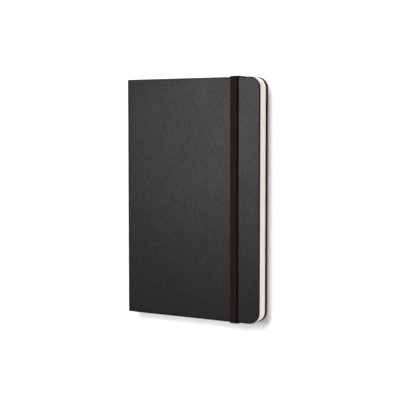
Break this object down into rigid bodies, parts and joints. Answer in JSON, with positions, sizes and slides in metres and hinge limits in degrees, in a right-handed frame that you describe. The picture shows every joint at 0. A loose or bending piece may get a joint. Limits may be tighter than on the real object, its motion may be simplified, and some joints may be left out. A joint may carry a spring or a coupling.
{
  "type": "pocket notebook",
  "caption": "Hardcover pocket notebook with rounded corners, sewn ivory pages, a card pocket inside the back cover and an elastic band that holds it shut.",
  "frame": {"origin": "centre of the back cover's outer face, at the bottom centre of the closed notebook's bounding box", "axes": "+Z out of the front cover, +Y towards the head of the pages, +X towards the fore edge; the spine is at -X"},
  "size_m": [0.09, 0.1412, 0.0111],
  "materials": {
    "leatherette": "matte, fine grain",
    "greyboard": "matte",
    "infill_card": "matte",
    "endpaper": "matte",
    "lining_paper": "matte",
    "pocket_card": "matte",
    "gusset_cloth": "woven",
    "page_paper": "matte",
    "thread": "matte",
    "elastic": "woven"
  },
  "bodies": {
    "back_cover": {"back_board": "greyboard", "back_wrap": "leatherette", "back_infill": "infill_card", "back_pastedown": "endpaper", "elastic_anchor_head": "elastic", "elastic_anchor_tail": "elastic", "pocket_gusset_head": "gusset_cloth", "pocket_gusset_tail": "gusset_cloth", "back_joint_cloth": "leatherette"},
    "spine": {"spine_board": "greyboard", "spine_wrap": "leatherette", "spine_lining": "lining_paper", "front_joint_cloth": "leatherette"},
    "front_cover": {"front_board": "greyboard", "front_wrap": "leatherette", "front_infill": "infill_card", "front_pastedown": "endpaper"},
    "pocket": {"pocket_panel": "pocket_card"},
    "leaves_01": {"back_flyleaf": "endpaper", "signature_01": "page_paper", "thread_01": "thread"},
    "leaves_02": {"signature_02": "page_paper", "thread_02": "thread"},
    "leaves_03": {"signature_03": "page_paper", "thread_03": "thread"},
    "leaves_04": {"signature_04": "page_paper", "thread_04": "thread"},
    "leaves_05": {"signature_05": "page_paper", "thread_05": "thread"},
    "leaves_06": {"signature_06": "page_paper", "thread_06": "thread"},
    "leaves_07": {"signature_07": "page_paper", "thread_07": "thread"},
    "leaves_08": {"signature_08": "page_paper", "thread_08": "thread"},
    "leaves_09": {"signature_09": "page_paper", "thread_09": "thread"},
    "leaves_10": {"signature_10": "page_paper", "thread_10": "thread"},
    "front_leaf": {"front_flyleaf": "endpaper"},
    "elastic": {"elastic_band": "elastic"}
  },
  "joints": [
    {"name": "spine_swing", "type": "hinge", "parent": "back_cover", "child": "spine", "pos_m": [-0.0442, 0, 0.0008], "axis": [0, -1, 0], "range_deg": [0, 90], "deforming": ["back_joint_cloth"]},
    {"name": "front_cover_open", "type": "hinge", "parent": "spine", "child": "front_cover", "pos_m": [-0.0442, 0, 0.0097], "axis": [0, -1, 0], "range_deg": [0, 90], "deforming": ["front_joint_cloth"]},
    {"name": "pocket_open", "type": "hinge", "parent": "back_cover", "child": "pocket", "pos_m": [-0.04, 0, 0.00202], "axis": [0, -1, 0], "range_deg": [0, 9], "deforming": ["pocket_gusset_head", "pocket_gusset_tail"]},
    {"name": "leaves_01_turn", "type": "hinge", "parent": "back_cover", "child": "leaves_01", "pos_m": [-0.0426, 0, 0.00239], "axis": [0, -1, 0], "range_deg": [0, 14]},
    {"name": "leaves_02_turn", "type": "hinge", "parent": "leaves_01", "child": "leaves_02", "pos_m": [-0.0426, 0, 0.00313], "axis": [0, -1, 0], "range_deg": [0, 6]},
    {"name": "leaves_03_turn", "type": "hinge", "parent": "leaves_02", "child": "leaves_03", "pos_m": [-0.0426, 0, 0.00374], "axis": [0, -1, 0], "range_deg": [0, 8]},
    {"name": "leaves_04_turn", "type": "hinge", "parent": "leaves_03", "child": "leaves_04", "pos_m": [-0.0426, 0, 0.00436], "axis": [0, -1, 0], "range_deg": [0, 10]},
    {"name": "leaves_05_turn", "type": "hinge", "parent": "leaves_04", "child": "leaves_05", "pos_m": [-0.0426, 0, 0.00498], "axis": [0, -1, 0], "range_deg": [0, 14]},
    {"name": "leaves_06_turn", "type": "hinge", "parent": "leaves_05", "child": "leaves_06", "pos_m": [-0.0426, 0, 0.0056], "axis": [0, -1, 0], "range_deg": [0, 20]},
    {"name": "leaves_07_turn", "type": "hinge", "parent": "leaves_06", "child": "leaves_07", "pos_m": [-0.0426, 0, 0.00621], "axis": [0, -1, 0], "range_deg": [0, 32]},
    {"name": "leaves_08_turn", "type": "hinge", "parent": "leaves_07", "child": "leaves_08", "pos_m": [-0.0426, 0, 0.00683], "axis": [0, -1, 0], "range_deg": [0, 24]},
    {"name": "leaves_09_turn", "type": "hinge", "parent": "leaves_08", "child": "leaves_09", "pos_m": [-0.0426, 0, 0.00745], "axis": [0, -1, 0], "range_deg": [0, 18]},
    {"name": "leaves_10_turn", "type": "hinge", "parent": "leaves_09", "child": "leaves_10", "pos_m": [-0.0426, 0, 0.00806], "axis": [0, -1, 0], "range_deg": [0, 12]},
    {"name": "front_leaf_turn", "type": "hinge", "parent": "leaves_10", "child": "front_leaf", "pos_m": [-0.0426, 0, 0.00868], "axis": [0, -1, 0], "range_deg": [0, 10]},
    {"name": "elastic_release", "type": "slide", "parent": "back_cover", "child": "elastic", "axis": [0, 0, -1], "range_m": [0, 0.0112], "deforming": ["elastic_band"]}
  ],
  "couplings": [
    {"joint": "spine_swing", "follows": "front_cover_open", "ratio": 1},
    {"joint": "pocket_open", "follows": "front_cover_open", "ratio": 0.1},
    {"joint": "leaves_01_turn", "follows": "front_cover_open", "ratio": 0.15556},
    {"joint": "leaves_02_turn", "follows": "front_cover_open", "ratio": 0.066667},
    {"joint": "leaves_03_turn", "follows": "front_cover_open", "ratio": 0.088889},
    {"joint": "leaves_04_turn", "follows": "front_cover_open", "ratio": 0.11111},
    {"joint": "leaves_05_turn", "follows": "front_cover_open", "ratio": 0.15556},
    {"joint": "leaves_06_turn", "follows": "front_cover_open", "ratio": 0.22222},
    {"joint": "leaves_07_turn", "follows": "front_cover_open", "ratio": 0.35556},
    {"joint": "leaves_08_turn", "follows": "front_cover_open", "ratio": 0.26667},
    {"joint": "leaves_09_turn", "follows": "front_cover_open", "ratio": 0.2},
    {"joint": "leaves_10_turn", "follows": "front_cover_open", "ratio": 0.13333},
    {"joint": "front_leaf_turn", "follows": "front_cover_open", "ratio": 0.11111},
    {"joint": "elastic_release", "follows": "front_cover_open", "m_per_rad": 0.00711}
  ]
}
